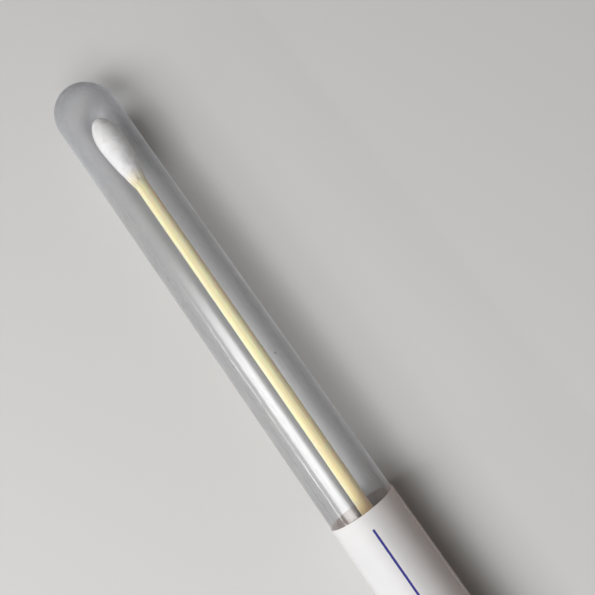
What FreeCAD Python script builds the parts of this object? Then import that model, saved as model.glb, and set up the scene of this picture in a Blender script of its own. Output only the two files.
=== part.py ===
# Specimen swab tube: a round-ended polypropylene tube that holds a dry swab.
#
# The tube lies along X. The row's origin is the centre of the tube's round end, +X runs along the tube's
# axis to the cap, +Z is up and +Y is the side where the label's overlap lies. Sizes are in millimetres.
#
# Pieces: tube (moulded with a draft), label (paper, wrapped once round with an overlap), cap (moulded, with
# a cored plug, a socket that grips the stick and a ribbed grip), swab_stick (birch) and cotton_bud.

import FreeCAD, Part
import math
import os
import Sketcher
from FreeCAD import Vector

doc = FreeCAD.newDocument("SwabTube")

# ---------------------------------------------------------------- driving dimensions

SIZES = [
    # tube
    ("tube_length", 150.0, "outer tip of the round end to the mouth"),
    ("nose_radius", 6.0, "outside of the round end and of the parallel stretch behind it"),
    ("nose_length", 18.0, "parallel stretch, from the centre of the round end"),
    ("mouth_radius", 6.5, "outside at the mouth, where the draft ends"),
    ("wall", 1.0, "side wall"),
    ("bottom_thickness", 1.8, "wall at the tip of the round end"),
    ("seat_wall", 0.85, "wall left round the plug's seat"),
    ("seat_run_out", 1.0, "seat left beyond the plug's end"),
    ("seat_lead", 1.2, "length of the cone from the bore to the seat"),
    ("lip_round", 0.25, "rounding of the mouth's two edges"),
    # label
    ("label_to_mouth", 9.7, "bare tube between the label and the mouth"),
    ("label_length", 48.0, "label, along the tube"),
    ("label_thickness", 0.12, "paper and its adhesive"),
    ("label_overlap", 40.0, "overlap, in degrees round the tube"),
    ("label_seam", 15.0, "free edge, in degrees above the +Y side"),
    ("label_corner", 3.0, "rounding of the label's corners"),
    # cap
    ("plug_length", 8.0, "plug, from its open end to the tube's mouth"),
    ("plug_clearance", 0.03, "between the plug and its seat, all round"),
    ("plug_wall", 1.0, "plug's wall"),
    ("plug_taper", 0.35, "how much narrower the plug starts"),
    ("plug_lead", 1.4, "length of that narrower start"),
    ("collar_overhang", 0.6, "collar outside the mouth"),
    ("collar_length", 2.0, "collar, along the tube"),
    ("grip_step", 0.35, "collar outside the grip"),
    ("grip_length", 12.0, "grip, from the collar to the flat end"),
    ("rib_count", 18, "ribs round the grip"),
    ("rib_radius", 0.6, "half-round rib"),
    ("rib_margin", 1.4, "bare grip between the ribs and the flat end"),
    ("top_thickness", 1.4, "flat end"),
    ("cap_edge", 0.8, "rounding round the flat end"),
    ("collar_round", 0.2, "rounding of the collar's edges"),
    ("boss_wall", 1.2, "wall of the boss that holds the stick"),
    ("socket_floor", 6.35, "solid plastic between the socket and the flat end"),
    ("socket_clearance", 0.15, "socket beyond the stick, all round"),
    ("crush_count", 3, "crush ribs in the socket"),
    # swab
    ("swab_standoff", 5.85, "free space between the tube's bottom and the bud"),
    ("stick_radius", 1.25, "birch stick"),
    ("stick_bow", 0.8, "how far the stick's free end stands off the tube's axis"),
    ("bud_cover", 4.0, "cotton in front of the stick's end"),
    ("bud_length", 15.3, "cotton, from its tip to where it thins out on the stick"),
    ("bud_radius", 2.68, "bud at its widest"),
    ("bud_nose", 5.0, "tip to the widest place"),
    ("bud_tip_radius", 1.75, "rounding of the tip"),
    ("bud_edge", 0.05, "cotton left at the thin end"),
]

sheet = doc.addObject("Spreadsheet::Sheet", "Dimensions")
for row, (alias, size, meaning) in enumerate(SIZES, start=1):
    sheet.set(f"A{row}", alias)
    sheet.set(f"B{row}", str(size))
    sheet.set(f"C{row}", meaning)
    sheet.setAlias(f"B{row}", alias)
doc.recompute()

# Lengths that follow from the driving ones, as expressions for the sketches below.
D = "Dimensions."
NOSE = f"{D}nose_radius"
MOUTH = f"{D}tube_length"
DRAFT = f"(({D}mouth_radius - {NOSE}) / ({MOUTH} - {NOSE} - {D}nose_length))"
SEAT_RADIUS = f"({D}mouth_radius - {D}seat_wall)"
SEAT_START = f"({MOUTH} - {D}plug_length - {D}seat_run_out)"
PLUG_RADIUS = f"({SEAT_RADIUS} - {D}plug_clearance)"
CORE_RADIUS = f"({PLUG_RADIUS} - {D}plug_wall)"
COLLAR_RADIUS = f"({D}mouth_radius + {D}collar_overhang)"
GRIP_RADIUS = f"({COLLAR_RADIUS} - {D}grip_step)"
COLLAR_END = f"({D}plug_length + {D}collar_length)"
CAP_END = f"({COLLAR_END} + {D}grip_length)"
SOCKET_DEPTH = f"({CAP_END} - {D}socket_floor)"
SOCKET_RADIUS = f"({D}stick_radius + {D}socket_clearance)"
BOSS_RADIUS = f"({SOCKET_RADIUS} + {D}boss_wall)"
PLUG_START = f"({MOUTH} - {NOSE} - {D}plug_length)"
BUD_TIP = f"({D}bottom_thickness + {D}swab_standoff - {NOSE})"
STICK_START = f"({BUD_TIP} + {D}bud_cover)"
STICK_RUN = f"({PLUG_START} + {SOCKET_DEPTH} - {STICK_START})"

SAME_PLACE = 0.01  # two edges nearer than this are in the same place


def tube_radius(place):
    """Outside of the drafted wall at a place measured from the tube's outer tip."""
    return f"({NOSE} + ({place} - {NOSE} - {D}nose_length) * {DRAFT})"


# ---------------------------------------------------------------- helpers

def new_body(name, x, y="0", turn="0"):
    """A PartDesign body whose origin stands at (x, y, 0), turned about X by so many degrees."""
    body = doc.addObject("PartDesign::Body", name)
    body.Label = name
    place = f"placement(vector({x}; {y}; 0); rotation(vector(1; 0; 0); {turn}))"
    body.setExpression("Placement", place)
    doc.recompute()
    return body


def new_sketch(body, name, role="XY_Plane", offset=None):
    """A sketch on one of the body's own origin planes, moved along the plane's normal by offset."""
    plane = next(item for item in body.Origin.OriginFeatures if item.Role == role)
    sketch = body.newObject("Sketcher::SketchObject", name)
    sketch.AttachmentSupport = [(plane, "")]
    sketch.MapMode = "FlatFace"
    if offset:
        sketch.setExpression(".AttachmentOffset.Base.z", f"({offset}) * 1 mm")
    doc.recompute()
    return sketch


def pin_down(sketch, element, point, axis, expression):
    """Tie one coordinate of a sketch point to an expression, or to the sketch's axis when it is zero."""
    if expression == "0":
        sketch.addConstraint(Sketcher.Constraint("PointOnObject", element, point, -1 if axis == "y" else -2))
        return
    distance = float(sketch.evalExpression(expression))
    kind = "DistanceX" if axis == "x" else "DistanceY"
    index = sketch.addConstraint(Sketcher.Constraint(kind, -1, 1, element, point, distance))
    sketch.setExpression(f"Constraints[{index}]", f"({expression}) * 1 mm")


def draw_arc(sketch, centre, first, last):
    """The short arc round a centre. Gives the numbers of its first and last point: an arc in a sketch
    always runs anticlockwise, so they swap when this one doesn't."""
    spokes = [first - centre, last - centre]
    anticlockwise = spokes[0].cross(spokes[1]).z > 0
    start = spokes[0] if anticlockwise else spokes[1]
    begin = math.atan2(start.y, start.x)
    circle = Part.Circle(centre, Vector(0, 0, 1), start.Length)
    sketch.addGeometry(Part.ArcOfCircle(circle, begin, begin + spokes[0].getAngle(spokes[1])))
    return (1, 2) if anticlockwise else (2, 1)


def draw_outline(sketch, corners):
    """A closed outline. A corner is (x, y) at the end of a straight side, or (x, y, centre x, centre y)
    at the end of an arc that leaves the corner before it. Every number is an expression."""

    def place(x, y):
        return Vector(float(sketch.evalExpression(x)), float(sketch.evalExpression(y)), 0)

    start = len(sketch.Geometry)
    ends = []
    for before, corner in zip([corners[-1]] + corners[:-1], corners):
        first, last = place(*before[:2]), place(*corner[:2])
        if len(corner) == 4:
            ends.append(draw_arc(sketch, place(*corner[2:]), first, last))
        else:
            sketch.addGeometry(Part.LineSegment(first, last))
            ends.append((1, 2))
    for index, corner in enumerate(corners):
        side, end = start + index, ends[index][1]
        following = (index + 1) % len(corners)
        sketch.addConstraint(
            Sketcher.Constraint("Coincident", side, end, start + following, ends[following][0]))
        axes = "xy"
        if len(corner) == 4:
            pin_down(sketch, side, 3, "x", corner[2])
            pin_down(sketch, side, 3, "y", corner[3])
            spoke = place(*corner[:2]) - place(*corner[2:])
            axes = "x" if abs(spoke.y) > abs(spoke.x) else "y"
        for axis, expression in zip("xy", corner[:2]):
            if axis in axes:
                pin_down(sketch, side, end, axis, expression)
    doc.recompute()


def draw_circle(sketch, radius, x="0", y="0"):
    """A circle round (x, y)."""
    size = float(sketch.evalExpression(radius))
    sketch.addGeometry(Part.Circle(Vector(0, 0, 0), Vector(0, 0, 1), size))
    index = sketch.addConstraint(Sketcher.Constraint("Radius", 0, size))
    sketch.setExpression(f"Constraints[{index}]", f"({radius}) * 1 mm")
    pin_down(sketch, 0, 3, "x", x)
    pin_down(sketch, 0, 3, "y", y)
    doc.recompute()


def revolve(body, name, sketch, angle="360", backwards=False):
    """Turn an outline about the body's X axis."""
    feature = body.newObject("PartDesign::Revolution", name)
    feature.Profile = sketch
    feature.ReferenceAxis = (sketch, ["H_Axis"])
    feature.Reversed = backwards
    feature.setExpression("Angle", f"({angle}) * 1 deg")
    doc.recompute()
    return feature


def repeat_round(body, name, feature, count):
    """Copy a feature round the body's X axis."""
    axis = next(item for item in body.Origin.OriginFeatures if item.Role == "X_Axis")
    pattern = body.newObject("PartDesign::PolarPattern", name)
    pattern.Originals = [feature]
    pattern.Axis = (axis, [""])
    pattern.Angle = 360
    pattern.setExpression("Occurrences", count)
    body.Tip = pattern
    doc.recompute()
    return pattern


def pad(body, name, sketch, length):
    """Carry a sketch along its plane's normal."""
    feature = body.newObject("PartDesign::Pad", name)
    feature.Profile = sketch
    feature.setExpression("Length", f"({length}) * 1 mm")
    doc.recompute()
    return feature


def round_edges(body, name, size, wanted):
    """A fillet on every edge of the body that passes a test."""
    base = body.Tip
    names = [f"Edge{number}" for number, edge in enumerate(base.Shape.Edges, start=1) if wanted(edge)]
    feature = body.newObject("PartDesign::Fillet", name)
    feature.Base = (base, names)
    feature.setExpression("Radius", f"{D}{size} * 1 mm")
    doc.recompute()
    return feature


def value(body, expression):
    """An expression's number, for telling edges apart."""
    return float(body.evalExpression(expression))


def is_ring(edge, x=None, radius=None):
    """Whether an edge is a circle round the X axis, at this x and of this radius where they are given."""
    box = edge.BoundBox
    return (box.XLength < SAME_PLACE
            and (x is None or abs(box.XMin - x) < SAME_PLACE)
            and (radius is None or abs(box.YMax - radius) < SAME_PLACE))


# ---------------------------------------------------------------- tube

# Injection moulded in one piece. Its outside is a half ball, a short parallel stretch that a rack's hole
# can take, and then a straight draft to the mouth. The bore follows it, and ends in a parallel seat that
# the cap's plug fills.
tube = new_body("tube", f"-{NOSE}")
tube_outline = new_sketch(tube, "TubeOutline")
bore_radius = f"({NOSE} - {D}wall)"
bore_centre = f"({D}bottom_thickness + {bore_radius})"
nose_end = f"({NOSE} + {D}nose_length)"
lead_start = f"({SEAT_START} - {D}seat_lead)"
draw_outline(tube_outline, [
    ("0", "0"),
    (NOSE, NOSE, NOSE, "0"),
    (nose_end, NOSE),
    (MOUTH, f"{D}mouth_radius"),
    (MOUTH, SEAT_RADIUS),
    (SEAT_START, SEAT_RADIUS),
    (lead_start, f"({tube_radius(lead_start)} - {D}wall)"),
    (nose_end, bore_radius),
    (bore_centre, bore_radius),
    (f"{D}bottom_thickness", "0", bore_centre, "0"),
])
revolve(tube, "TubeWall", tube_outline)
mouth = value(tube, MOUTH)
round_edges(tube, "LipRounding", "lip_round", lambda edge: is_ring(edge, x=mouth))

# ---------------------------------------------------------------- label

# One sheet of paper, wrapped once round the drafted wall and stuck down on itself. The overlap is the
# second layer that starts at the free edge, whose two corners are rounded.
label = new_body("label", f"-{NOSE}", turn=f"{D}label_seam")
label_end = f"({MOUTH} - {D}label_to_mouth)"
label_start = f"({label_end} - {D}label_length)"


def paper_layer(name, layers_below):
    """Outline of the paper's section on the tube, above so many layers."""
    inside = f"{layers_below} * {D}label_thickness"
    outside = f"{layers_below + 1} * {D}label_thickness"
    sketch = new_sketch(label, name)
    draw_outline(sketch, [
        (label_start, f"({tube_radius(label_start)} + {inside})"),
        (label_end, f"({tube_radius(label_end)} + {inside})"),
        (label_end, f"({tube_radius(label_end)} + {outside})"),
        (label_start, f"({tube_radius(label_start)} + {outside})"),
    ])
    return sketch


# The overlap comes first, and its free corners are cut to their rounding before the layer below it.
revolve(label, "Overlap", paper_layer("OverlapSection", 1), angle=f"{D}label_overlap", backwards=True)
corner_cuts = new_sketch(label, "CornerCuts", role="XZ_Plane")
rounding = f"{D}label_corner"
for edge_x, centre_x in [(label_start, f"({label_start} + {rounding})"),
                         (label_end, f"({label_end} - {rounding})")]:
    draw_outline(corner_cuts, [
        (edge_x, "0"),
        (edge_x, f"-{rounding}"),
        (centre_x, "0", centre_x, f"-{rounding}"),
    ])
corners = label.newObject("PartDesign::Pocket", "FreeCorners")
corners.Profile = corner_cuts
corners.Type = "ThroughAll"
corners.Midplane = True
doc.recompute()
revolve(label, "FirstLayer", paper_layer("FirstLayerSection", 0))

# ---------------------------------------------------------------- cap

# Moulded in one piece, with its frame at the plug's open end. A deep ring core leaves a thin plug wall
# round a central boss. The boss is a blind socket with crush ribs that grip the stick. The collar stops
# on the tube's mouth, and half-round ribs give the fingers a hold and keep the tube from rolling.
cap = new_body("cap", PLUG_START)
cap_outline = new_sketch(cap, "CapOutline")
core_end = f"({CAP_END} - {D}top_thickness)"
draw_outline(cap_outline, [
    ("0", SOCKET_RADIUS),
    ("0", BOSS_RADIUS),
    (core_end, BOSS_RADIUS),
    (core_end, CORE_RADIUS),
    ("0", CORE_RADIUS),
    ("0", f"({PLUG_RADIUS} - {D}plug_taper)"),
    (f"{D}plug_lead", PLUG_RADIUS),
    (f"{D}plug_length", PLUG_RADIUS),
    (f"{D}plug_length", COLLAR_RADIUS),
    (COLLAR_END, COLLAR_RADIUS),
    (COLLAR_END, GRIP_RADIUS),
    (CAP_END, GRIP_RADIUS),
    (CAP_END, "0"),
    (SOCKET_DEPTH, "0"),
    (SOCKET_DEPTH, SOCKET_RADIUS),
])
revolve(cap, "CapWall", cap_outline)
cap_end, grip = value(cap, CAP_END), value(cap, GRIP_RADIUS)
round_edges(cap, "EndRounding", "cap_edge", lambda edge: is_ring(edge, x=cap_end, radius=grip))
collar = value(cap, COLLAR_RADIUS)
round_edges(cap, "CollarRounding", "collar_round", lambda edge: is_ring(edge, radius=collar))

# The first rib stands half a step to one side of the lowest line, so that the cap lies on two ribs.
half_step = f"180 deg / {D}rib_count"
rib_section = new_sketch(cap, "RibSection", role="YZ_Plane", offset=COLLAR_END)
draw_circle(rib_section, f"{D}rib_radius",
            x=f"({GRIP_RADIUS} * sin({half_step}))", y=f"(-{GRIP_RADIUS} * cos({half_step}))")
rib = pad(cap, "Rib", rib_section, f"{D}grip_length - {D}rib_margin")
repeat_round(cap, "Ribs", rib, f"{D}rib_count")

crush_section = new_sketch(cap, "CrushSection", role="YZ_Plane")
draw_circle(crush_section, f"{D}socket_clearance", y=SOCKET_RADIUS)
crush_rib = pad(cap, "CrushRib", crush_section, SOCKET_DEPTH)
repeat_round(cap, "CrushRibs", crush_rib, f"{D}crush_count")

# ---------------------------------------------------------------- swab stick

# A birch stick, a little bowed: it leaves the middle of its socket on the tube's axis, and its free end
# runs parallel to the axis, one bow away from it. Its frame stands at the free end.
swab_stick = new_body("swab_stick", STICK_START, f"{D}stick_bow")
to_socket = f"({STICK_RUN} - {SOCKET_DEPTH} / 2)"
bend = f"(({to_socket} ^ 2 + {D}stick_bow ^ 2) / (2 * {D}stick_bow))"
stick_line = new_sketch(swab_stick, "StickLine")
run, radius = value(stick_line, STICK_RUN), value(stick_line, bend)
sag = radius - math.sqrt(radius ** 2 - run ** 2)
near_end, far_end = draw_arc(stick_line, Vector(0, -radius, 0), Vector(0, 0, 0), Vector(run, -sag, 0))
stick_line.addConstraint(Sketcher.Constraint("Coincident", 0, near_end, -1, 1))
pin_down(stick_line, 0, 3, "x", "0")
pin_down(stick_line, 0, 3, "y", f"-{bend}")
pin_down(stick_line, 0, far_end, "x", STICK_RUN)
stick_section = new_sketch(swab_stick, "StickSection", role="YZ_Plane")
draw_circle(stick_section, f"{D}stick_radius")
stick_wood = swab_stick.newObject("PartDesign::AdditivePipe", "StickWood")
stick_wood.Profile = stick_section
stick_wood.Spine = (stick_line, ["Edge1"])
doc.recompute()

# ---------------------------------------------------------------- cotton bud

# Cotton wound on the stick's free end. Two arcs make the blunt tip and a long one thins the bud out on
# the stick, which fills the hole in it.
cotton_bud = new_body("cotton_bud", BUD_TIP, f"{D}stick_bow")
bud_outline = new_sketch(cotton_bud, "BudOutline")
tip, widest, fat = f"{D}bud_tip_radius", f"{D}bud_nose", f"{D}bud_radius"
thin = f"({D}stick_radius + {D}bud_edge)"
cheek = f"((({widest} - {tip}) ^ 2 + {fat} ^ 2 - {tip} ^ 2) / (2 * ({fat} - {tip})))"
tail = f"((({D}bud_length - {widest}) ^ 2 + ({fat} - {thin}) ^ 2) / (2 * ({fat} - {thin})))"
draw_outline(bud_outline, [
    ("0", "0"),
    (f"({tip} - {tip} * ({widest} - {tip}) / ({cheek} - {tip}))",
     f"({tip} * ({cheek} - {fat}) / ({cheek} - {tip}))", tip, "0"),
    (widest, fat, widest, f"({fat} - {cheek})"),
    (f"{D}bud_length", thin, widest, f"({fat} - {tail})"),
    (f"{D}bud_length", f"{D}stick_radius"),
    (f"{D}bud_cover", f"{D}stick_radius"),
    (f"{D}bud_cover", "0"),
])
revolve(cotton_bud, "Cotton", bud_outline)

# ---------------------------------------------------------------- checks and export

doc.recompute()
nodes = [tube, label, cap, swab_stick, cotton_bud]
for item in doc.Objects:
    if "Invalid" in item.State or "Error" in item.State:
        raise RuntimeError(f"{item.Label} failed: {item.State}")
for node in nodes:
    shape = node.Shape
    if shape.isNull() or not shape.isValid() or len(shape.Solids) != 1:
        raise RuntimeError(f"{node.Label} is not one valid solid")
    print(f"{node.Label}: {shape.Volume:.1f} mm3, x {shape.BoundBox.XMin:.2f} to {shape.BoundBox.XMax:.2f}")

os.makedirs("parts", exist_ok=True)
for node in nodes:
    node.Shape.exportStep(f"parts/{node.Label}.step")
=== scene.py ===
"""Looks of a specimen swab tube: a hazy round-bottomed tube with a paper label, and the swab on its cap.

It lies on its side along X, from the round end at the origin to the cap. Lengths are in metres.
"""

import math

import bpy
import numpy as np
from mathutils import Matrix, Vector


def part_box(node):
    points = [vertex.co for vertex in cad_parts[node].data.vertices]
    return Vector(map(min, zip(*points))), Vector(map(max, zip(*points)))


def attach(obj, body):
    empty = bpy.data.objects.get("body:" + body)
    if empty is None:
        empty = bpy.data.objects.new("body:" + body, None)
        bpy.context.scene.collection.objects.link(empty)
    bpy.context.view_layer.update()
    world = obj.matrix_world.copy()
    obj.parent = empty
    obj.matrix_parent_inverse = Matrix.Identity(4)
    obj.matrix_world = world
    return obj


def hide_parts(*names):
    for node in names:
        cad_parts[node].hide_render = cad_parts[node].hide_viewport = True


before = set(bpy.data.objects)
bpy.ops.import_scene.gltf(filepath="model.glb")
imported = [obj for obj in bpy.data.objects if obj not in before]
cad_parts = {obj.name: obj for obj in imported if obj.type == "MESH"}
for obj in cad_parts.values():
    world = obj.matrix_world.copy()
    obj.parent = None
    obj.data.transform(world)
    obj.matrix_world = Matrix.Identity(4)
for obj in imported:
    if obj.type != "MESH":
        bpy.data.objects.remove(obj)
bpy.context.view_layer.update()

# ---------------------------------------------------------------- the tube

# A test tube moulded in one piece from natural polypropylene. The outside comes off a polished cavity and
# the bore off a core pin that is drawn out lengthwise, so the two sides of the wall shine differently.
MM = 0.001
tube_low, tube_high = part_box("tube")
nose_radius = -tube_low.x
mouth_radius = tube_high.z
mouth = tube_high.x
nose_end = 18 * MM  # from here on the tube widens steadily to the mouth
wall = 1.0 * MM
bottom = tube_low.x + 1.8 * MM
seat_wall = 0.85 * MM
seat_start = mouth - 9 * MM  # from here on the bore is parallel, for the cap's plug
seat_lead = 1.2 * MM
lip = 0.25 * MM
TUBE_STEPS = 240  # faces round the tube


def arc(centre, radius, first, last, steps):
    """Points round (x, r) = centre, from one angle to another in degrees, without the first one."""
    angle = np.radians(np.linspace(first, last, steps + 1)[1:])
    return np.stack([centre[0] + radius * np.cos(angle), centre[1] + radius * np.sin(angle)], axis=1)


def run(first, last, steps):
    """Points along a straight stretch between two (x, r), without the first one."""
    part = np.linspace(0, 1, steps + 1)[1:, None]
    return (1 - part) * np.array(first) + part * np.array(last)


def turned(profile, steps):
    """Rings of a profile turned about X: point k of ring i is (x_i, r_i cos a_k, r_i sin a_k), where a_k
    goes once round in equal steps."""
    angle = np.linspace(0, 2 * math.pi, steps, endpoint=False)
    x, r = profile[:, :1], profile[:, 1:]
    return np.stack([x + 0 * angle, r * np.cos(angle), r * np.sin(angle)], axis=2)


def skin(name, rings, poles, materials, starts=(0,)):
    """A mesh object over stacks of rings, an array (stack, ring, point, 3). Neighbouring rings are joined
    by four-sided faces, and a fan closes each end of a stack on its pole. The faces from ring starts[n]
    on take material n. Its UV map counts rings along U and turns along V."""
    stacks, count, steps = rings.shape[:3]
    points = np.concatenate([rings.reshape(-1, 3), poles.reshape(-1, 3)])
    index = np.arange(stacks * count * steps).reshape(stacks, count, steps)
    after = np.roll(index, -1, axis=2)
    quads = np.stack([index[:, :-1], after[:, :-1], after[:, 1:], index[:, 1:]], axis=3)
    pole = stacks * count * steps + np.arange(stacks * 2).reshape(stacks, 2, 1) + 0 * index[:, :1]
    near = np.stack([pole[:, 0], after[:, 0], index[:, 0]], axis=2)
    far = np.stack([pole[:, 1], index[:, -1], after[:, -1]], axis=2)

    ring = np.arange(count - 1)[:, None, None] + np.array([0, 0, 1, 1])
    turn = (np.arange(steps)[:, None] + np.array([0, 1, 1, 0])) / steps
    quad_uv = np.stack(np.broadcast_arrays(ring, turn[None]), axis=3)
    fan_turn = (np.arange(steps)[:, None] + np.array([0.5, 1, 0])) / steps
    near_uv = np.stack(np.broadcast_arrays(np.array([0, 0, 0]), fan_turn), axis=2)
    far_uv = np.stack(np.broadcast_arrays(np.array([count - 1] * 3), fan_turn[:, [0, 2, 1]]), axis=2)

    mesh = bpy.data.meshes.new(name)
    mesh.from_pydata(points, [], quads.reshape(-1, 4).tolist() + near.reshape(-1, 3).tolist()
                     + far.reshape(-1, 3).tolist())
    uv = np.concatenate([np.tile(part.reshape(-1, 2), (stacks, 1)) for part in (quad_uv, near_uv, far_uv)])
    mesh.uv_layers.new(name="rings_and_turns").data.foreach_set("uv", uv.ravel())
    piece_of = np.searchsorted(starts, np.arange(count - 1), side="right") - 1
    slots = np.concatenate([np.tile(np.repeat(piece_of, steps), stacks), np.zeros(stacks * steps),
                            np.full(stacks * steps, piece_of[-1])])
    mesh.polygons.foreach_set("material_index", slots.astype(np.int32))
    return finished(name, mesh, materials)


def finished(name, mesh, materials):
    """A smooth-shaded object for a mesh, with edges kept sharp where faces meet at over 35 degrees."""
    for material in materials:
        mesh.materials.append(material)
    mesh.shade_smooth()
    mesh.set_sharp_from_angle(angle=math.radians(35))
    mesh.update()
    piece = bpy.data.objects.new(name, mesh)
    bpy.context.scene.collection.objects.link(piece)
    return piece


def linear(colour):
    """An sRGB hex colour as the linear RGBA that shaders take."""
    part = np.array([int(colour[k:k + 2], 16) / 255 for k in (1, 3, 5)])
    part = np.where(part <= 0.04045, part / 12.92, ((part + 0.055) / 1.055) ** 2.4)
    return (*part, 1.0)


def add(tree, kind, inputs=None, **settings):
    """Adds one node. Each of inputs is a value for a socket, or another node's output to link to it."""
    node = tree.nodes.new(kind)
    for name, setting in settings.items():
        setattr(node, name, setting)
    for socket, source in (inputs or {}).items():
        if isinstance(source, bpy.types.NodeSocket):
            tree.links.new(source, node.inputs[socket])
        else:
            node.inputs[socket].default_value = source
    return node


def new_material(name):
    """An empty node material: the material, its node tree and its output."""
    material = bpy.data.materials.new(name)
    material.use_nodes = True
    material.node_tree.nodes.clear()
    return material, material.node_tree, add(material.node_tree, "ShaderNodeOutputMaterial")


MIX_A, MIX_B, MIXED = 6, 7, 2  # a Mix node's colour sockets


def polypropylene(name, haze_least, haze_most, straight, slanting, gloss_air, gloss_within, roughness,
                  streak_depth, scratches):
    """Natural polypropylene, moulded: it lets light through, the crystals in it scatter some of it as a
    milky haze that thickens towards the outline, and its surface shines. haze_least and haze_most are the
    share that the haze covers, face on and at the outline. straight and slanting are what is left of light
    that crosses the wall face on and at a slant. gloss_air and gloss_within are the gloss seen from the
    air and from within the plastic. streak_depth is how far the flow streaks raise and lower the haze, and
    scratches is the haze that a scratch adds."""
    material, tree, output = new_material(name)
    place = add(tree, "ShaderNodeTexCoord").outputs["Object"]
    facing = add(tree, "ShaderNodeLayerWeight", {"Blend": 0.5}).outputs["Facing"]

    # Flow streaks 1.6 mm wide and 30 mm long, and a cloudiness of 4 mm, make the haze uneven.
    drawn = add(tree, "ShaderNodeMapping", {
        "Vector": place, "Scale": (1 / (30 * MM), 1 / (1.6 * MM), 1 / (1.6 * MM))})
    streaks = add(tree, "ShaderNodeTexNoise", {"Vector": drawn.outputs[0], "Scale": 1.0, "Detail": 3.0})
    cloud = add(tree, "ShaderNodeTexNoise", {"Vector": place, "Scale": 1 / (4 * MM), "Detail": 4.0})
    uneven = add(tree, "ShaderNodeMath", {0: streaks.outputs["Fac"], 1: cloud.outputs["Fac"]},
                 operation="ADD")
    uneven = add(tree, "ShaderNodeMapRange", {
        "Value": uneven.outputs[0], "From Min": 0.6, "From Max": 1.4,
        "To Min": 1 - streak_depth, "To Max": 1 + streak_depth})
    rim = add(tree, "ShaderNodeMath", {0: facing, 1: 1.3}, operation="POWER")
    haze = add(tree, "ShaderNodeMapRange", {
        "Value": rim.outputs[0], "To Min": haze_least, "To Max": haze_most})
    haze = add(tree, "ShaderNodeMath", {0: haze.outputs[0], 1: uneven.outputs[0]}, operation="MULTIPLY")
    # Scratches 0.2 mm wide and 25 mm long, from the drawer that the tube was kept in.
    scratched = add(tree, "ShaderNodeMapping", {
        "Vector": place, "Scale": (1 / (25 * MM), 1 / (0.2 * MM), 1 / (0.2 * MM))})
    scratched = add(tree, "ShaderNodeTexNoise", {
        "Vector": scratched.outputs[0], "Scale": 1.0, "Detail": 1.0})
    scratched = add(tree, "ShaderNodeMapRange", {
        "Value": scratched.outputs["Fac"], "From Min": 0.68, "From Max": 0.74, "To Max": scratches})
    haze = add(tree, "ShaderNodeMath", {0: haze.outputs[0], 1: scratched.outputs[0]}, operation="ADD",
               use_clamp=True)

    left = linear(straight)
    if slanting != straight:
        left = add(tree, "ShaderNodeMix", {0: facing, MIX_A: left, MIX_B: linear(slanting)},
                   data_type="RGBA").outputs[MIXED]
    clear = add(tree, "ShaderNodeBsdfTransparent", {"Color": left})
    # A speck of scorched plastic, 0.3 mm across, sits in the wall 62 mm from the round end.
    speck = add(tree, "ShaderNodeVectorMath", {0: place, 1: (56.40 * MM, 3.48 * MM, 5.08 * MM)},
                operation="DISTANCE")
    speck = add(tree, "ShaderNodeMapRange", {
        "Value": speck.outputs["Value"], "From Min": 0.10 * MM, "From Max": 0.18 * MM,
        "To Min": 1.0, "To Max": 0.0})
    tone = add(tree, "ShaderNodeMix", {
        0: speck.outputs[0], MIX_A: linear("#D6D7DA"), MIX_B: linear("#3A3430")}, data_type="RGBA")
    haze = add(tree, "ShaderNodeMath", {0: haze.outputs[0], 1: speck.outputs[0]}, operation="MAXIMUM")
    milk = add(tree, "ShaderNodeBsdfDiffuse", {"Color": tone.outputs[MIXED], "Roughness": 0.0})
    glow = add(tree, "ShaderNodeBsdfTranslucent", {"Color": tone.outputs[MIXED]})
    milky = add(tree, "ShaderNodeMixShader", {0: 0.6, 1: milk.outputs[0], 2: glow.outputs[0]})
    body = add(tree, "ShaderNodeMixShader", {0: haze.outputs[0], 1: clear.outputs[0], 2: milky.outputs[0]})

    # Light that is on its way out of the plastic is thrown back more than light that comes from the air.
    within = add(tree, "ShaderNodeNewGeometry").outputs["Backfacing"]
    gloss = add(tree, "ShaderNodeMapRange", {"Value": within, "To Min": gloss_air, "To Max": gloss_within})
    shine = add(tree, "ShaderNodeBsdfAnisotropic", {"Color": (1, 1, 1, 1), "Roughness": roughness})
    whole = add(tree, "ShaderNodeMixShader", {0: gloss.outputs[0], 1: body.outputs[0], 2: shine.outputs[0]})
    tree.links.new(whole.outputs[0], output.inputs["Surface"])
    return material


outside = np.concatenate([
    arc((0, 0), nose_radius, 180, 90, 48)[1:],
    run((0, nose_radius), (nose_end, nose_radius), 6),
    run((nose_end, nose_radius), (mouth - lip, mouth_radius), 60),
    arc((mouth - lip, mouth_radius - lip), lip, 90, 0, 6),
])
seat_radius = mouth_radius - seat_wall
bore_radius = nose_radius - wall
bore_centre = bottom + bore_radius
lead_start = seat_start - seat_lead
lead_part = (lead_start - nose_end) / (mouth - nose_end)
lead_radius = nose_radius + (mouth_radius - nose_radius) * lead_part - wall
inside = np.concatenate([
    run((mouth, mouth_radius - lip), (mouth, seat_radius + lip), 2),
    arc((mouth - lip, seat_radius + lip), lip, 360, 270, 6),
    run((mouth - lip, seat_radius), (seat_start, seat_radius), 6),
    run((seat_start, seat_radius), (lead_start, lead_radius), 3),
    run((lead_start, lead_radius), (nose_end, bore_radius), 60),
    run((nose_end, bore_radius), (bore_centre, bore_radius), 8),
    arc((bore_centre, 0), bore_radius, 90, 180, 48)[:-1],
])
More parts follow.
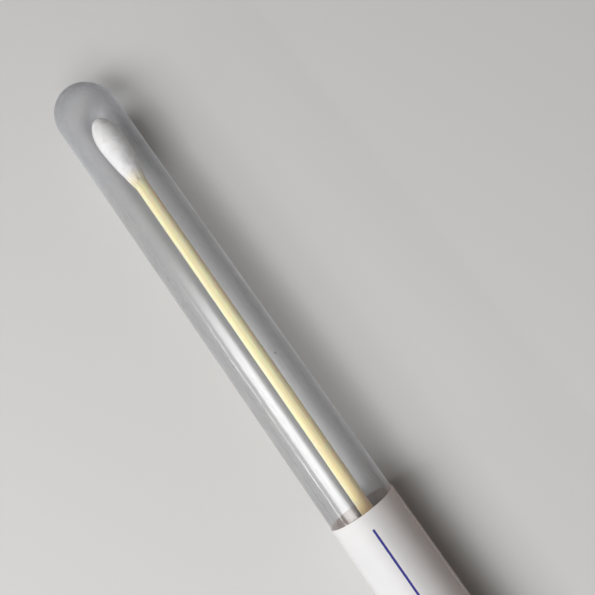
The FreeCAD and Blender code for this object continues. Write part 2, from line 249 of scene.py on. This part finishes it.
# The outside carries the tube's haze, its scratches and its shine. The bore is duller, and hardly hazy.
polished = polypropylene(
    "polypropylene_off_polished_cavity", haze_least=0.05, haze_most=0.85, straight="#FCFCFD",
    slanting="#9EA0A4", gloss_air=0.045, gloss_within=0.005, roughness=0.13, streak_depth=0.26,
    scratches=0.12)
drawn_off = polypropylene(
    "polypropylene_off_core_pin", haze_least=0.01, haze_most=0.01, straight="#FFFFFF",
    slanting="#FFFFFF", gloss_air=0.012, gloss_within=0.035, roughness=0.22, streak_depth=0.30,
    scratches=0.02)
tube = skin("tube_moulding", turned(np.concatenate([outside, inside]), TUBE_STEPS)[None],
            np.array([(tube_low.x, 0, 0), (bottom, 0, 0)]), [polished, drawn_off], (0, len(outside)))
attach(tube, "tube")
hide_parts("tube")

# ---------------------------------------------------------------- the label

# One die-cut sheet of matt white paper, 0.12 mm thick with its adhesive, wrapped once round the tube. Its
# end climbs over its own beginning on the +Y side and is stuck down there, with its two corners rounded.
label_low, label_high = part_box("label")
PAPER = 0.12 * MM
ADHESIVE_GAP = 0.01 * MM  # keeps the paper's back clear of the tube's face
free_edge = 375.0  # degrees from +Y by way of +Z, so 15 degrees above +Y after one turn
hidden_edge = free_edge - 400.0  # once round, and 40 degrees more
climb_start, climb_end = 325.0, 335.0  # here the sheet rises on to its own beginning
corner = 3 * MM
line_angle = 89.0
line_width = 0.42 * MM
line_margin = 2.8 * MM
ALONG, ROUND = 48, 400

part = np.linspace(0, 1, ALONG + 1)
part = 0.65 * part + 0.35 * part * part * (3 - 2 * part)  # a little closer together near both ends
angle = np.linspace(hidden_edge, free_edge, ROUND + 1)


def wrapped_sheet(part, angle):
    """The paper's outer face. Point (x, a) stands at angle a round the tube, as far out as the tube's
    draft and one thickness of paper, plus a second thickness past the climb over the sheet's beginning.
    Near either end of the sheet the two long edges draw in along a quarter circle."""
    reach = np.radians(np.minimum(angle - hidden_edge, free_edge - angle)) * mouth_radius
    short = np.clip(corner - reach, 0, corner)
    inset = corner - np.sqrt(corner ** 2 - short ** 2)
    x = label_low.x + inset + part[:, None] * (label_high.x - label_low.x - 2 * inset)
    tube_face = nose_radius + (mouth_radius - nose_radius) * (x - nose_end) / (mouth - nose_end)
    climb = np.clip((angle - climb_start) / (climb_end - climb_start), 0, 1)
    climb = climb * climb * (3 - 2 * climb)
    r = tube_face + ADHESIVE_GAP + PAPER * (1 + climb)
    a = np.radians(angle)
    return np.stack([x, r * np.cos(a), r * np.sin(a)], axis=2)


face = wrapped_sheet(part, angle)
index = np.arange(face.shape[0] * face.shape[1]).reshape(face.shape[:2])
quads = np.stack([index[:-1, :-1], index[:-1, 1:], index[1:, 1:], index[1:, :-1]], axis=2).reshape(-1, 4)
mesh = bpy.data.meshes.new("paper_label")
mesh.from_pydata(face.reshape(-1, 3), [], quads.tolist())
flat = np.stack([face[:, :, 0] - label_low.x,
                 np.broadcast_to(np.radians(angle - hidden_edge) * mouth_radius, face.shape[:2])], axis=2)
mesh.uv_layers.new(name="flat_sheet").data.foreach_set("uv", (flat.reshape(-1, 2)[quads] / MM).ravel())

# Smooth label paper, whitened with a blue-white dye: matt with a faint silkiness, and with a felt of
# fibres that shows as soft mottling. Light that has come through the sheet is warmed on its way.
paper, tree, output = new_material("matt_label_paper")
sheet = add(tree, "ShaderNodeUVMap", uv_map="flat_sheet").outputs["UV"]
place = add(tree, "ShaderNodeTexCoord").outputs["Object"]
spot = add(tree, "ShaderNodeSeparateXYZ", {"Vector": sheet})
line_place = math.radians(line_angle - hidden_edge) * mouth_radius / MM
# Printing ink spreads a little along the fibres: the line's edge wanders by some hundredths of a mm.
bleed = add(tree, "ShaderNodeTexNoise", {"Vector": place, "Scale": 1 / (0.25 * MM), "Detail": 2.0})
bleed = add(tree, "ShaderNodeMath", {0: bleed.outputs["Fac"], 1: 0.5}, operation="SUBTRACT")
away = add(tree, "ShaderNodeMath", {0: spot.outputs["Y"], 1: line_place}, operation="SUBTRACT")
away = add(tree, "ShaderNodeMath", {0: away.outputs[0]}, operation="ABSOLUTE")
away = add(tree, "ShaderNodeMath", {0: bleed.outputs[0], 1: 0.10, 2: away.outputs[0]},
           operation="MULTIPLY_ADD")
label_middle = (label_high.x - label_low.x) / 2 / MM
past = add(tree, "ShaderNodeMath", {0: spot.outputs["X"], 1: label_middle}, operation="SUBTRACT")
past = add(tree, "ShaderNodeMath", {0: past.outputs[0]}, operation="ABSOLUTE")
half_width, half_line, ink_fade = line_width / 2 / MM, label_middle - line_margin / MM, 0.04
across = add(tree, "ShaderNodeMapRange", {
    "Value": away.outputs[0], "From Min": half_width - ink_fade, "From Max": half_width + ink_fade,
    "To Min": 1.0, "To Max": 0.0})
along = add(tree, "ShaderNodeMapRange", {
    "Value": past.outputs[0], "From Min": half_line - ink_fade, "From Max": half_line + ink_fade,
    "To Min": 1.0, "To Max": 0.0})
inked = add(tree, "ShaderNodeMath", {0: across.outputs[0], 1: along.outputs[0]}, operation="MULTIPLY")
# Fibres are 0.02 mm thick, too fine to show, so the felt is drawn at 0.3 mm and its mottling at 2 mm.
felt = add(tree, "ShaderNodeTexNoise", {
    "Vector": place, "Scale": 1 / (0.3 * MM), "Detail": 5.0, "Roughness": 0.6})
mottle = add(tree, "ShaderNodeTexNoise", {"Vector": place, "Scale": 1 / (2 * MM), "Detail": 3.0})
tone = add(tree, "ShaderNodeMix", {
    0: mottle.outputs["Fac"], MIX_A: linear("#EEF1F3"), MIX_B: linear("#F4F7F9")}, data_type="RGBA")
colour = add(tree, "ShaderNodeMix", {
    0: inked.outputs[0], MIX_A: tone.outputs[MIXED], MIX_B: linear("#2A2496")}, data_type="RGBA")
bump = add(tree, "ShaderNodeBump", {
    "Height": felt.outputs["Fac"], "Strength": 0.25, "Distance": 0.03 * MM})
paper_face = add(tree, "ShaderNodeBsdfPrincipled", {
    "Base Color": colour.outputs[MIXED], "Roughness": 0.5, "Specular IOR Level": 0.5,
    "Normal": bump.outputs[0]})
warm = add(tree, "ShaderNodeMix", {0: 1.0, MIX_A: colour.outputs[MIXED], MIX_B: linear("#EDC4B2")},
           data_type="RGBA", blend_type="MULTIPLY")
through = add(tree, "ShaderNodeBsdfTranslucent", {"Color": warm.outputs[MIXED]})
whole = add(tree, "ShaderNodeMixShader", {0: 0.36, 1: paper_face.outputs[0], 2: through.outputs[0]})
tree.links.new(whole.outputs[0], output.inputs["Surface"])

# The back carries a clear acrylic adhesive, so the paper shows through it, a little yellowed and dulled.
adhesive, tree, output = new_material("clear_acrylic_adhesive")
place = add(tree, "ShaderNodeTexCoord").outputs["Object"]
# The coating brush leaves it uneven in patches of 1.5 mm.
patches = add(tree, "ShaderNodeTexNoise", {"Vector": place, "Scale": 1 / (1.5 * MM), "Detail": 3.0})
cover = add(tree, "ShaderNodeMapRange", {"Value": patches.outputs["Fac"], "To Min": 0.04, "To Max": 0.16})
clear = add(tree, "ShaderNodeBsdfTransparent", {"Color": linear("#FAF5EC")})
dull = add(tree, "ShaderNodeBsdfTranslucent", {"Color": linear("#EFE6DA")})
whole = add(tree, "ShaderNodeMixShader", {0: cover.outputs[0], 1: clear.outputs[0], 2: dull.outputs[0]})
tree.links.new(whole.outputs[0], output.inputs["Surface"])

label = finished("paper_label", mesh, [paper, adhesive])
# The sheet is cut square, so its outer edges stay sharp when it is given its thickness.
ends = np.zeros(2 * len(mesh.edges), dtype=np.int32)
mesh.edges.foreach_get("vertices", ends)
row, column = np.divmod(ends.reshape(-1, 2), ROUND + 1)
cut = (row == 0).all(1) | (row == ALONG).all(1) | (column == 0).all(1) | (column == ROUND).all(1)
mesh.edges.foreach_set("use_edge_sharp", cut)
thickness = label.modifiers.new("paper_thickness", "SOLIDIFY")
thickness.thickness = PAPER
thickness.offset = -1
thickness.use_even_offset = True
thickness.material_offset = 1  # the back takes the adhesive
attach(label, "tube")
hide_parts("label")

# ---------------------------------------------------------------- the cap

# Moulded in one piece from white polyethylene. The plug that fills the tube's seat is cored out to a thin
# wall round a boss, the boss grips the swab's stick, and ribs round the grip hold the fingers.
cap_low, cap_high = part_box("cap")
plug_end = mouth
collar_end = mouth + 2 * MM
cap_end = cap_high.x
plug_clearance = 0.03 * MM
plug_wall = 1.0 * MM
plug_radius = seat_radius - plug_clearance
plug_taper, plug_lead = 0.35 * MM, 1.4 * MM
plug_tip = plug_radius - plug_taper
core_radius = plug_radius - plug_wall
end_wall = 1.4 * MM
core_end = cap_end - end_wall
collar_radius = mouth_radius + 0.6 * MM
grip_radius = collar_radius - 0.35 * MM
boss_round, core_round, plug_round = 0.2 * MM, 0.3 * MM, 0.15 * MM
collar_round, end_round = 0.2 * MM, 0.8 * MM
RIBS, RIB_STEPS = 18, 22  # RIB_STEPS are the faces across one rib and its gap
rib_height = cap_high.y - grip_radius
rib_foot = 0.85 * MM  # half a rib's width, its foot's rounding included
rib_end = cap_end - 1.4 * MM
rib_fade = 0.7 * MM
stick_radius = 1.25 * MM
socket_radius = stick_radius + 0.15 * MM
socket_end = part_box("swab_stick")[1].x
boss_radius = socket_radius + 1.2 * MM
gate_radius, gate_depth = 1.6 * MM, 0.25 * MM  # a round dimple keeps the gate's stub below the face
gate_ring = 0.2 * MM  # the innermost ring of the dimple

cap_profile = np.concatenate([
    run((socket_end, 0), (socket_end, socket_radius), 3),
    run((socket_end, socket_radius), (cap_low.x + boss_round, socket_radius), 12),
    arc((cap_low.x + boss_round, socket_radius + boss_round), boss_round, 270, 180, 4),
    run((cap_low.x, socket_radius + boss_round), (cap_low.x, boss_radius - boss_round), 2),
    arc((cap_low.x + boss_round, boss_radius - boss_round), boss_round, 180, 90, 4),
    run((cap_low.x + boss_round, boss_radius), (core_end - core_round, boss_radius), 12),
    arc((core_end - core_round, boss_radius + core_round), core_round, 270, 360, 5),
    run((core_end, boss_radius + core_round), (core_end, core_radius - core_round), 3),
    arc((core_end - core_round, core_radius - core_round), core_round, 0, 90, 5),
    run((core_end - core_round, core_radius), (cap_low.x + plug_round, core_radius), 14),
    arc((cap_low.x + plug_round, core_radius + plug_round), plug_round, 270, 180, 4),
    run((cap_low.x, core_radius + plug_round), (cap_low.x, plug_tip - plug_round), 2),
    arc((cap_low.x + plug_round, plug_tip - plug_round), plug_round, 180, 90, 4),
    run((cap_low.x + plug_round, plug_tip), (cap_low.x + plug_lead, plug_radius), 4),
    run((cap_low.x + plug_lead, plug_radius), (plug_end, plug_radius), 8),
    run((plug_end, plug_radius), (plug_end, collar_radius - collar_round), 3),
    arc((plug_end + collar_round, collar_radius - collar_round), collar_round, 180, 90, 5),
    run((plug_end + collar_round, collar_radius), (collar_end - collar_round, collar_radius), 4),
    arc((collar_end - collar_round, collar_radius - collar_round), collar_round, 90, 0, 5),
    run((collar_end, collar_radius - collar_round), (collar_end, grip_radius), 2),
    run((collar_end, grip_radius), (rib_end - rib_fade, grip_radius), 14),
    run((rib_end - rib_fade, grip_radius), (rib_end, grip_radius), 8),
    run((rib_end, grip_radius), (cap_end - end_round, grip_radius), 3),
    arc((cap_end - end_round, grip_radius - end_round), end_round, 90, 0, 10),
    run((cap_end, grip_radius - end_round), (cap_end, gate_radius), 6),
    run((cap_end, gate_radius), (cap_end - gate_depth, gate_radius - gate_depth), 4),
    run((cap_end - gate_depth, gate_radius - gate_depth), (cap_end - gate_depth, gate_ring), 4),
])


def ribbed(profile):
    """The turned profile with ribs: where a rib stands at angle s off its middle, the radius is at least
    grip_radius + rib_height (1 - (s / foot)^2)^1.6, and each rib ends in a quarter round at rib_end."""
    rings = turned(profile, RIBS * RIB_STEPS)
    angle = np.linspace(0, 2 * math.pi, RIBS * RIB_STEPS, endpoint=False)
    step = 2 * math.pi / RIBS
    off = (angle + math.pi / 2) % step - step / 2
    swell = np.clip(1 - (off * grip_radius / rib_foot) ** 2, 0, 1) ** 1.6
    x, r = profile[:, :1], profile[:, 1:]
    on = (x >= collar_end) & (x <= rib_end) & (r > plug_radius)
    end = np.clip((x - rib_end + rib_fade) / rib_fade, 0, 1)
    wanted = grip_radius + rib_height * swell * np.sqrt(1 - end ** 2)
    radius = np.where(on, np.maximum(r, wanted), r)
    return np.stack([rings[:, :, 0], radius * np.cos(angle), radius * np.sin(angle)], axis=2)


# White high-density polyethylene off a spark-eroded mould: a satin face with a waxy depth and fine pits.
polyethylene, tree, output = new_material("satin_moulded_polyethylene")
place = add(tree, "ShaderNodeTexCoord").outputs["Object"]
# The mould's pits are 0.05 mm across, too fine to show, so they are drawn at 0.35 mm.
pits = add(tree, "ShaderNodeTexNoise", {"Vector": place, "Scale": 1 / (0.35 * MM), "Detail": 3.0})
cloud = add(tree, "ShaderNodeTexNoise", {"Vector": place, "Scale": 1 / (5 * MM), "Detail": 3.0})
satin = add(tree, "ShaderNodeMapRange", {"Value": cloud.outputs["Fac"], "To Min": 0.40, "To Max": 0.56})
bump = add(tree, "ShaderNodeBump", {
    "Height": pits.outputs["Fac"], "Strength": 0.35, "Distance": 0.04 * MM})
tint = add(tree, "ShaderNodeValToRGB", {"Fac": cloud.outputs["Fac"]})
tint.color_ramp.elements[0].color = linear("#CECFCB")
tint.color_ramp.elements[1].color = linear("#D9D9D6")
moulded = add(tree, "ShaderNodeBsdfPrincipled", {
    "Base Color": tint.outputs[0], "Roughness": satin.outputs[0], "Specular IOR Level": 0.25,
    "Subsurface Weight": 0.25, "Subsurface Radius": (1.2 * MM, 1.1 * MM, 1.0 * MM), "Subsurface Scale": 1.0,
    "Normal": bump.outputs[0]})
tree.links.new(moulded.outputs[0], output.inputs["Surface"])

cap = skin("cap_moulding", ribbed(cap_profile)[None],
           np.array([(socket_end, 0, 0), (cap_end - gate_depth, 0, 0)]), [polyethylene])
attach(cap, "swab")
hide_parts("cap")

# ---------------------------------------------------------------- the stick

# A birch applicator stick, drawn through a round die and cut square. It is a little bowed, as thin wood
# dries, and its far end is pressed into the cap's boss.
stick_low, stick_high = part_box("swab_stick")
bow = stick_high.y - stick_radius
drop = stick_high.y - (stick_low.y + 2 * stick_radius)
stick_run = stick_high.x - stick_low.x
out_of_round = 0.012 * MM
STICK_STEPS = 40


def bowed_rod(first, last, radius, stations):
    """Rings of a rod whose middle line falls away from y = bow with the square of the distance run. The
    section is a circle, out of round by a hundredth of a millimetre."""
    part = np.linspace(first, last, stations)[:, None]
    angle = np.linspace(0, 2 * math.pi, STICK_STEPS, endpoint=False)
    x = stick_low.x + part * stick_run + 0 * angle
    uneven = out_of_round * (np.sin(2 * angle + 5 * part) + 0.6 * np.sin(3 * angle - 11 * part + 1))
    r = radius - out_of_round + uneven
    y = bow - drop * part ** 2 + r * np.cos(angle)
    return np.stack([x, y, r * np.sin(angle)], axis=2)


# Birch: pale cream wood, close in grain, with fine darker fibres along it and now and then a fleck.
birch, tree, output = new_material("birch_stick_wood")
place = add(tree, "ShaderNodeTexCoord").outputs["Object"]
# Fibres 0.15 mm wide and 12 mm long, and growth bands 0.9 mm wide and 60 mm long.
fibre = add(tree, "ShaderNodeMapping", {
    "Vector": place, "Scale": (1 / (12 * MM), 1 / (0.15 * MM), 1 / (0.15 * MM))})
fibre = add(tree, "ShaderNodeTexNoise", {"Vector": fibre.outputs[0], "Scale": 1.0, "Detail": 4.0})
band = add(tree, "ShaderNodeMapping", {
    "Vector": place, "Scale": (1 / (60 * MM), 1 / (0.9 * MM), 1 / (0.9 * MM))})
band = add(tree, "ShaderNodeTexNoise", {"Vector": band.outputs[0], "Scale": 1.0, "Detail": 2.0})
grain = add(tree, "ShaderNodeMath", {0: fibre.outputs["Fac"], 1: 0.5, 2: band.outputs["Fac"]},
            operation="MULTIPLY_ADD")
wood = add(tree, "ShaderNodeValToRGB", {"Fac": grain.outputs[0]})
wood.color_ramp.elements[0].position, wood.color_ramp.elements[0].color = 0.45, linear("#E6D39D")
wood.color_ramp.elements[1].position, wood.color_ramp.elements[1].color = 0.95, linear("#F7F4CA")
# A fleck of bark, 0.4 mm across, was left on the stick 78 mm from the tube's round end.
bark = add(tree, "ShaderNodeVectorMath", {0: place, 1: (72.4 * MM, -0.2 * MM, 1.2 * MM)},
           operation="DISTANCE")
bark = add(tree, "ShaderNodeMapRange", {
    "Value": bark.outputs["Value"], "From Min": 0.1 * MM, "From Max": 0.3 * MM,
    "To Min": 0.7, "To Max": 0.0})
wood = add(tree, "ShaderNodeMix", {0: bark.outputs[0], MIX_A: wood.outputs[0], MIX_B: linear("#96602F")},
           data_type="RGBA")
bump = add(tree, "ShaderNodeBump", {
    "Height": fibre.outputs["Fac"], "Strength": 0.4, "Distance": 0.04 * MM})
# Red light runs deeper into the wood than blue, which gives the shaded side its golden edge.
wooden = add(tree, "ShaderNodeBsdfPrincipled", {
    "Base Color": wood.outputs[MIXED], "Roughness": 0.62, "Specular IOR Level": 0.3,
    "Subsurface Weight": 0.8, "Subsurface Radius": (1.8 * MM, 1.0 * MM, 0.3 * MM),
    "Subsurface Scale": 1.0, "Normal": bump.outputs[0]})
tree.links.new(wooden.outputs[0], output.inputs["Surface"])

stick_rings = bowed_rod(0.0, 1.0, stick_radius, 150)
stick = skin("birch_stick", stick_rings[None], np.array([stick_rings[0].mean(0), stick_rings[-1].mean(0)]),
             [birch])
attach(stick, "swab")
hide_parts("swab_stick")

# ---------------------------------------------------------------- the cotton bud

# Carded cotton wound in a long thinning spiral on the end of the stick, blunt at the tip. Its outermost
# fibres lie round it and a few stand off.
bud_low, bud_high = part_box("cotton_bud")
bud_length = bud_high.x - bud_low.x
bud_radius = (bud_high.z - bud_low.z) / 2
bud_nose = 5.2 * MM
thin_end = 0.03 * MM  # how deep the last fibres lie on the stick
sunk = 0.03 * MM  # how far the bud's inner face lies within the stick, out of sight
winding = 1.15 * MM  # from one turn of the wound cotton to the next
lump_height, lump_sink = 0.028 * MM, 0.03 * MM  # of the ridges, and how far all is drawn in for them
BUD_STATIONS, BUD_STEPS = 190, 168
rng = np.random.default_rng(7)


def bud_outline(s):
    """The bud's radius at a distance s from its tip: a quarter ellipse up to the widest place, and then
    a fall to the stick as the power 1.45 of the distance."""
    nose = np.sqrt(np.clip(1 - (1 - s / bud_nose) ** 2, 0, 1))
    tail = np.clip((s - bud_nose) / (bud_length - bud_nose), 0, 1)
    fall = bud_radius - (stick_radius + thin_end)
    return np.where(s < bud_nose, bud_radius * nose, bud_radius - fall * tail ** 1.45)


def wound_lumps(s, angle):
    """How far the wound cotton stands off its outline: a screw thread of soft ridges, and 40 sine waves
    of random direction, the longer ones higher. All of it dies away at the tip and at the thin end."""
    height = 0.45 * np.sin(2 * math.pi * s / winding + angle + 0.6 * np.sin(3 * angle))
    for _ in range(40):
        turns, waves = rng.integers(-7, 8), rng.uniform(1, 16)
        size = 1.0 / (1 + 0.35 * (abs(turns) + waves))
        height = height + size * np.sin(turns * angle + waves * 2 * math.pi * s / bud_length
                                        + rng.uniform(0, 2 * math.pi))
    fade = np.clip(s / (1.2 * MM), 0, 1) * np.clip((bud_length - s) / (3 * MM), 0, 1)
    return lump_height * height * fade - lump_sink * fade


angle = np.linspace(0, 2 * math.pi, BUD_STEPS, endpoint=False)
# The cotton's thin end is ragged: how much short of its full length it stops at each angle round it.
ragged = np.clip(0.55 + 0.4 * np.cos(angle - 0.6) + 0.22 * np.sin(5 * angle + 2) + 0.14 * np.sin(11 * angle)
                 + 0.1 * np.sin(23 * angle + 1), 0, None) * MM
# Stations along the bud stand closer together at its tip, where it curves most.
station = np.linspace(0, 1, BUD_STATIONS + 1)[1:, None]
slide = 0.5 * np.sin(station * math.pi / 2) ** 2 + 0.5 * station ** 1.4
s = slide * bud_length
radius = bud_outline(s) + wound_lumps(s, angle)
cotton = np.stack([bud_low.x + s * (1 - slide ** 6 * ragged / bud_length),
                   bow + radius * np.cos(angle), radius * np.sin(angle)], axis=2)
bore = run((bud_high.x, stick_radius - sunk), (stick_low.x, stick_radius - sunk), 8)
bore = turned(bore, BUD_STEPS) + np.array([0, bow, 0])

# Bleached cotton: bright, quite matt white, and soft at the outline where fibres catch the light.
cotton_material, tree, output = new_material("wound_bleached_cotton")
place = add(tree, "ShaderNodeTexCoord").outputs["Object"]
# Fibres are 0.02 mm thick; they are drawn as strands of 0.12 mm that run round the bud, so that they show.
strand = add(tree, "ShaderNodeMapping", {
    "Vector": place, "Rotation": (0, 0, math.radians(12)),
    "Scale": (1 / (0.12 * MM), 1 / (1.5 * MM), 1 / (1.5 * MM))})
strand = add(tree, "ShaderNodeTexNoise", {
    "Vector": strand.outputs[0], "Scale": 1.0, "Detail": 4.0, "Roughness": 0.65})
# Tufts of 0.5 mm stand between them.
fluff = add(tree, "ShaderNodeTexNoise", {"Vector": place, "Scale": 1 / (0.5 * MM), "Detail": 5.0})
pile = add(tree, "ShaderNodeMath", {0: strand.outputs["Fac"], 1: 0.6, 2: fluff.outputs["Fac"]},
           operation="MULTIPLY_ADD")
white = add(tree, "ShaderNodeValToRGB", {"Fac": pile.outputs[0]})
white.color_ramp.elements[0].position, white.color_ramp.elements[0].color = 0.4, linear("#EDECE9")
white.color_ramp.elements[1].position, white.color_ramp.elements[1].color = 0.9, linear("#F6F5F3")
# Near its thin end the cotton is a few fibres deep, so the yellow of the wood comes through and light
# does not spread within it.
run_out = add(tree, "ShaderNodeSeparateXYZ", {"Vector": place})
run_out = add(tree, "ShaderNodeMath", {0: pile.outputs[0], 1: 1.6 * MM, 2: run_out.outputs["X"]},
              operation="MULTIPLY_ADD")
run_out = add(tree, "ShaderNodeMapRange", {
    "Value": run_out.outputs[0], "From Min": bud_high.x - 2.0 * MM, "From Max": bud_high.x + 0.6 * MM,
    "To Max": 0.9})
white = add(tree, "ShaderNodeMix", {
    0: run_out.outputs[0], MIX_A: white.outputs[0], MIX_B: linear("#F6E6B8")}, data_type="RGBA")
depth = add(tree, "ShaderNodeMapRange", {"Value": run_out.outputs[0], "To Min": 0.6, "To Max": 0.0})
bump = add(tree, "ShaderNodeBump", {"Height": pile.outputs[0], "Strength": 0.6, "Distance": 0.08 * MM})
cotton_face = add(tree, "ShaderNodeBsdfPrincipled", {
    "Base Color": white.outputs[MIXED], "Roughness": 0.95, "Specular IOR Level": 0.1,
    "Sheen Weight": 0.15, "Sheen Roughness": 0.5, "Subsurface Weight": depth.outputs[0],
    "Subsurface Radius": (1.2 * MM, 1.2 * MM, 1.1 * MM), "Subsurface Scale": 1.0,
    "Normal": bump.outputs[0]})
tree.links.new(cotton_face.outputs[0], output.inputs["Surface"])

bud = skin("cotton_bud_wound", np.concatenate([cotton, bore])[None],
           np.array([(bud_low.x, bow, 0), (stick_low.x, bow, 0)]), [cotton_material])
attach(bud, "swab")
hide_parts("cotton_bud")

# Loose fibres, 2 to 6 mm long, that lie round the bud and lift off it at their ends. Each runs at a slant
# over the bud's outline and rises from it with the square of the distance from its middle. Its section is
# a triangle that thins out at both ends.
FIBRES, FIBRE_STATIONS = 260, 9
fibre_radius = 0.013 * MM
start = rng.uniform(0.8, bud_length / MM - 2.5, (FIBRES, 1)) * MM
begin = rng.uniform(0, 2 * math.pi, (FIBRES, 1))
length = rng.uniform(2, 6, (FIBRES, 1)) * MM
slant = rng.normal(0.35, 0.35, (FIBRES, 1))
lift = rng.uniform(0.02, 0.13, (FIBRES, 1)) * MM
along = np.linspace(-0.5, 0.5, FIBRE_STATIONS)
s = np.clip(start + along * length * np.sin(slant), 0.3 * MM, bud_length - 0.8 * MM)
turn = begin + along * length * np.cos(slant) / bud_outline(start)
radius = bud_outline(s) + 0.01 * MM + lift * (2 * along) ** 2
line = np.stack([bud_low.x + s, bow + radius * np.cos(turn), radius * np.sin(turn)], axis=2)
ahead = np.gradient(line, axis=1)
ahead /= np.linalg.norm(ahead, axis=2, keepdims=True)
out = np.stack([0 * turn, np.cos(turn), np.sin(turn)], axis=2)
side = np.cross(ahead, out)
side /= np.linalg.norm(side, axis=2, keepdims=True)
out = np.cross(side, ahead)
taper = fibre_radius * np.sqrt(np.clip(1.05 - (2 * along) ** 4, 0, 1))[None, :, None, None]
corner_angle = np.radians([0, 120, 240])[None, None, :, None]
rings = (line[:, :, None] + taper * (np.cos(corner_angle) * out[:, :, None]
                                     - np.sin(corner_angle) * side[:, :, None]))
fibres = skin("cotton_fibres", rings, line[:, [0, -1]], [cotton_material])
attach(fibres, "swab")

# ---------------------------------------------------------------- floor, light and camera

# The tube lies on its round end's belly and on the two lowest ribs of the cap, so the floor is level for
# the eye and half a degree off the tube's axis.
rest_line = cap_low.z
rib_start = collar_end
slope = (-rest_line - nose_radius) / rib_start
half_floor = 0.6
corner_x = np.array([-1, 1, 1, -1]) * half_floor
corner_y = np.array([-1, -1, 1, 1]) * half_floor
floor_mesh = bpy.data.meshes.new("floor")
floor_mesh.from_pydata(np.stack([corner_x, corner_y, rest_line - slope * (corner_x - rib_start)], axis=1),
                       [], [(0, 1, 2, 3)])
floor = bpy.data.objects.new("floor", floor_mesh)
bpy.context.scene.collection.objects.link(floor)
pale, tree, output = new_material("pale_matt_laminate")
board = add(tree, "ShaderNodeBsdfPrincipled", {"Base Color": linear("#C3C3C2"), "Roughness": 0.8,
                                               "Specular IOR Level": 0.2})
# The floor runs out softly into the backdrop, over the stretch from 0.17 to 0.45 m off the tube's middle.
place = add(tree, "ShaderNodeTexCoord").outputs["Object"]
reach = add(tree, "ShaderNodeVectorMath", {0: place, 1: (0.075, 0, 0)}, operation="DISTANCE")
gone = add(tree, "ShaderNodeMapRange", {
    "Value": reach.outputs["Value"], "From Min": 0.17, "From Max": 0.45}, interpolation_type="SMOOTHSTEP")
nothing = add(tree, "ShaderNodeBsdfTransparent", {"Color": (1, 1, 1, 1)})
whole = add(tree, "ShaderNodeMixShader", {0: gone.outputs[0], 1: board.outputs[0], 2: nothing.outputs[0]})
tree.links.new(whole.outputs[0], output.inputs["Surface"])
floor_mesh.materials.append(pale)

# A pale studio. The eye, gloss and clear plastic see its backdrop, and matt faces get a weak, warm fill.
world = bpy.data.worlds.new("studio")
bpy.context.scene.world = world
world.use_nodes = True
tree = world.node_tree
tree.nodes.clear()
output = add(tree, "ShaderNodeOutputWorld")
ray = add(tree, "ShaderNodeLightPath")
seen = add(tree, "ShaderNodeMath", {0: ray.outputs["Is Camera Ray"], 1: ray.outputs["Is Glossy Ray"]},
           operation="MAXIMUM")
seen = add(tree, "ShaderNodeMath", {0: seen.outputs[0], 1: ray.outputs["Is Transmission Ray"]},
           operation="MAXIMUM")
fill = add(tree, "ShaderNodeBackground", {"Color": linear("#FFF5EC"), "Strength": 0.12})
backdrop = add(tree, "ShaderNodeBackground", {"Color": linear("#C9C9C8"), "Strength": 1.0})
both = add(tree, "ShaderNodeMixShader", {0: seen.outputs[0], 1: fill.outputs[0], 2: backdrop.outputs[0]})
tree.links.new(both.outputs[0], output.inputs["Surface"])


def softbox(name, place, aim, width, height, power, side_fade=0.001, top_fade=0.001):
    """A rectangular area lamp at place, facing aim, with its width kept level. Over the share side_fade of
    its width, and top_fade of its height, it falls to nothing, as a window does behind a curtain's edge."""
    data = bpy.data.lights.new(name, "AREA")
    data.shape, data.size, data.size_y = "RECTANGLE", width, height
    data.energy = power
    data.use_nodes = True
    tree = data.node_tree
    on_lamp = add(tree, "ShaderNodeNewGeometry").outputs["Parametric"]
    on_lamp = add(tree, "ShaderNodeSeparateXYZ", {"Vector": on_lamp})
    side = add(tree, "ShaderNodeMapRange", {"Value": on_lamp.outputs["X"], "From Max": side_fade},
               interpolation_type="SMOOTHSTEP")
    top = add(tree, "ShaderNodeMapRange", {"Value": on_lamp.outputs["Y"], "From Min": 1.0,
                                           "From Max": 1 - top_fade}, interpolation_type="SMOOTHSTEP")
    strength = add(tree, "ShaderNodeMath", {0: side.outputs[0], 1: top.outputs[0]}, operation="MULTIPLY")
    tree.links.new(strength.outputs[0], tree.nodes["Emission"].inputs["Strength"])
    lamp = bpy.data.objects.new(name, data)
    toward = (Vector(aim) - Vector(place)).normalized()
    lamp.matrix_world = Matrix.Translation(place) @ toward.to_track_quat("-Z", "Y").to_matrix().to_4x4()
    lamp.visible_camera = False
    bpy.context.scene.collection.objects.link(lamp)


# The panel gives the tube its broad highlight and the strip the fine line beside it. The softbox lights
# the cap's end.
softbox("window_panel", place=(0.065, -0.434, 0.549), aim=(0.065, 0, 0), width=0.46, height=0.46,
        power=6.2, side_fade=0.4, top_fade=0.46)
softbox("window_strip", place=(0.060, -0.480, 0.160), aim=(0.060, 0, 0), width=0.30, height=0.008,
        power=0.36, side_fade=0.2)
softbox("high_softbox", place=(0.450, -0.275, 0.600), aim=(0.080, 0, 0), width=0.40, height=0.40,
        power=3.1)

camera_data = bpy.data.cameras.new("camera")
camera_data.sensor_width = 36
camera_data.lens = 42
camera_data.clip_start = 0.001
camera = bpy.data.objects.new("camera", camera_data)
# It looks down on the tube from 122 mm up, leaning 6.4 degrees towards the round end and turned 54.5.
lean = Matrix.Rotation(math.radians(6.355), 4, "Y")
turn = Matrix.Rotation(math.radians(54.475), 4, "Z")
camera.matrix_world = Matrix.Translation((0.0640, 0.0120, 0.1225)) @ lean @ turn
bpy.context.scene.collection.objects.link(camera)
bpy.context.scene.camera = camera
bpy.context.scene.view_settings.view_transform = "Standard"
